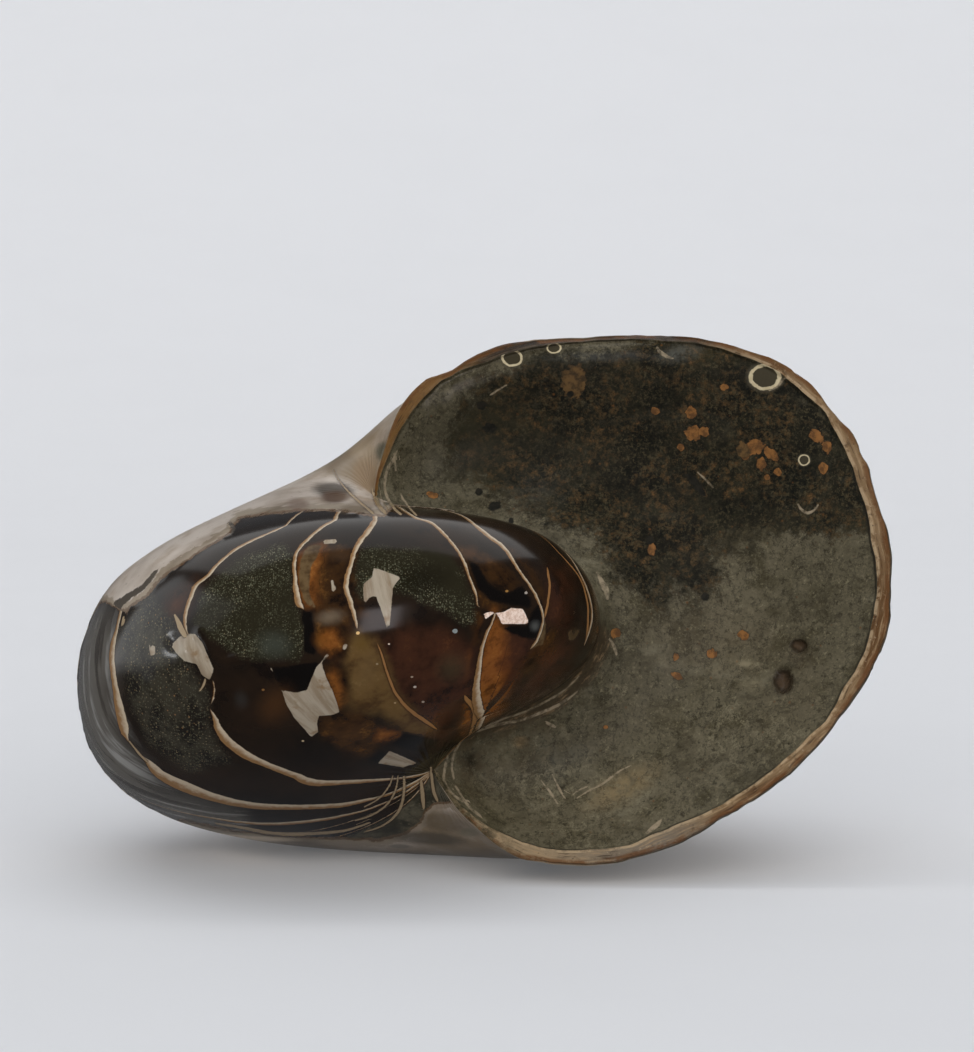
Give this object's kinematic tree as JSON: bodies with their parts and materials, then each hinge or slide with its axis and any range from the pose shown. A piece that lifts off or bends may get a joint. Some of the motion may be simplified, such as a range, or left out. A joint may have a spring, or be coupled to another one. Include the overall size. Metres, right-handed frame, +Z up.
{
  "type": "fossil nautilus",
  "caption": "Polished stone cast of a tightly coiled nautiloid shell with a dished, stone-filled aperture, lying tilted on a worn flat base.",
  "frame": {"origin": "centre of the bounding box's underside, on the floor the fossil rests on", "axes": "+X towards the aperture's outer lip, along the longest side; +Y away from the aperture's face; +Z up, the shortest side"},
  "size_m": [0.1592, 0.1266, 0.1054],
  "materials": {
    "polished_stone": "polished"
  },
  "bodies": {
    "root": {"nautilus_fossil": "polished_stone"}
  },
  "joints": []
}
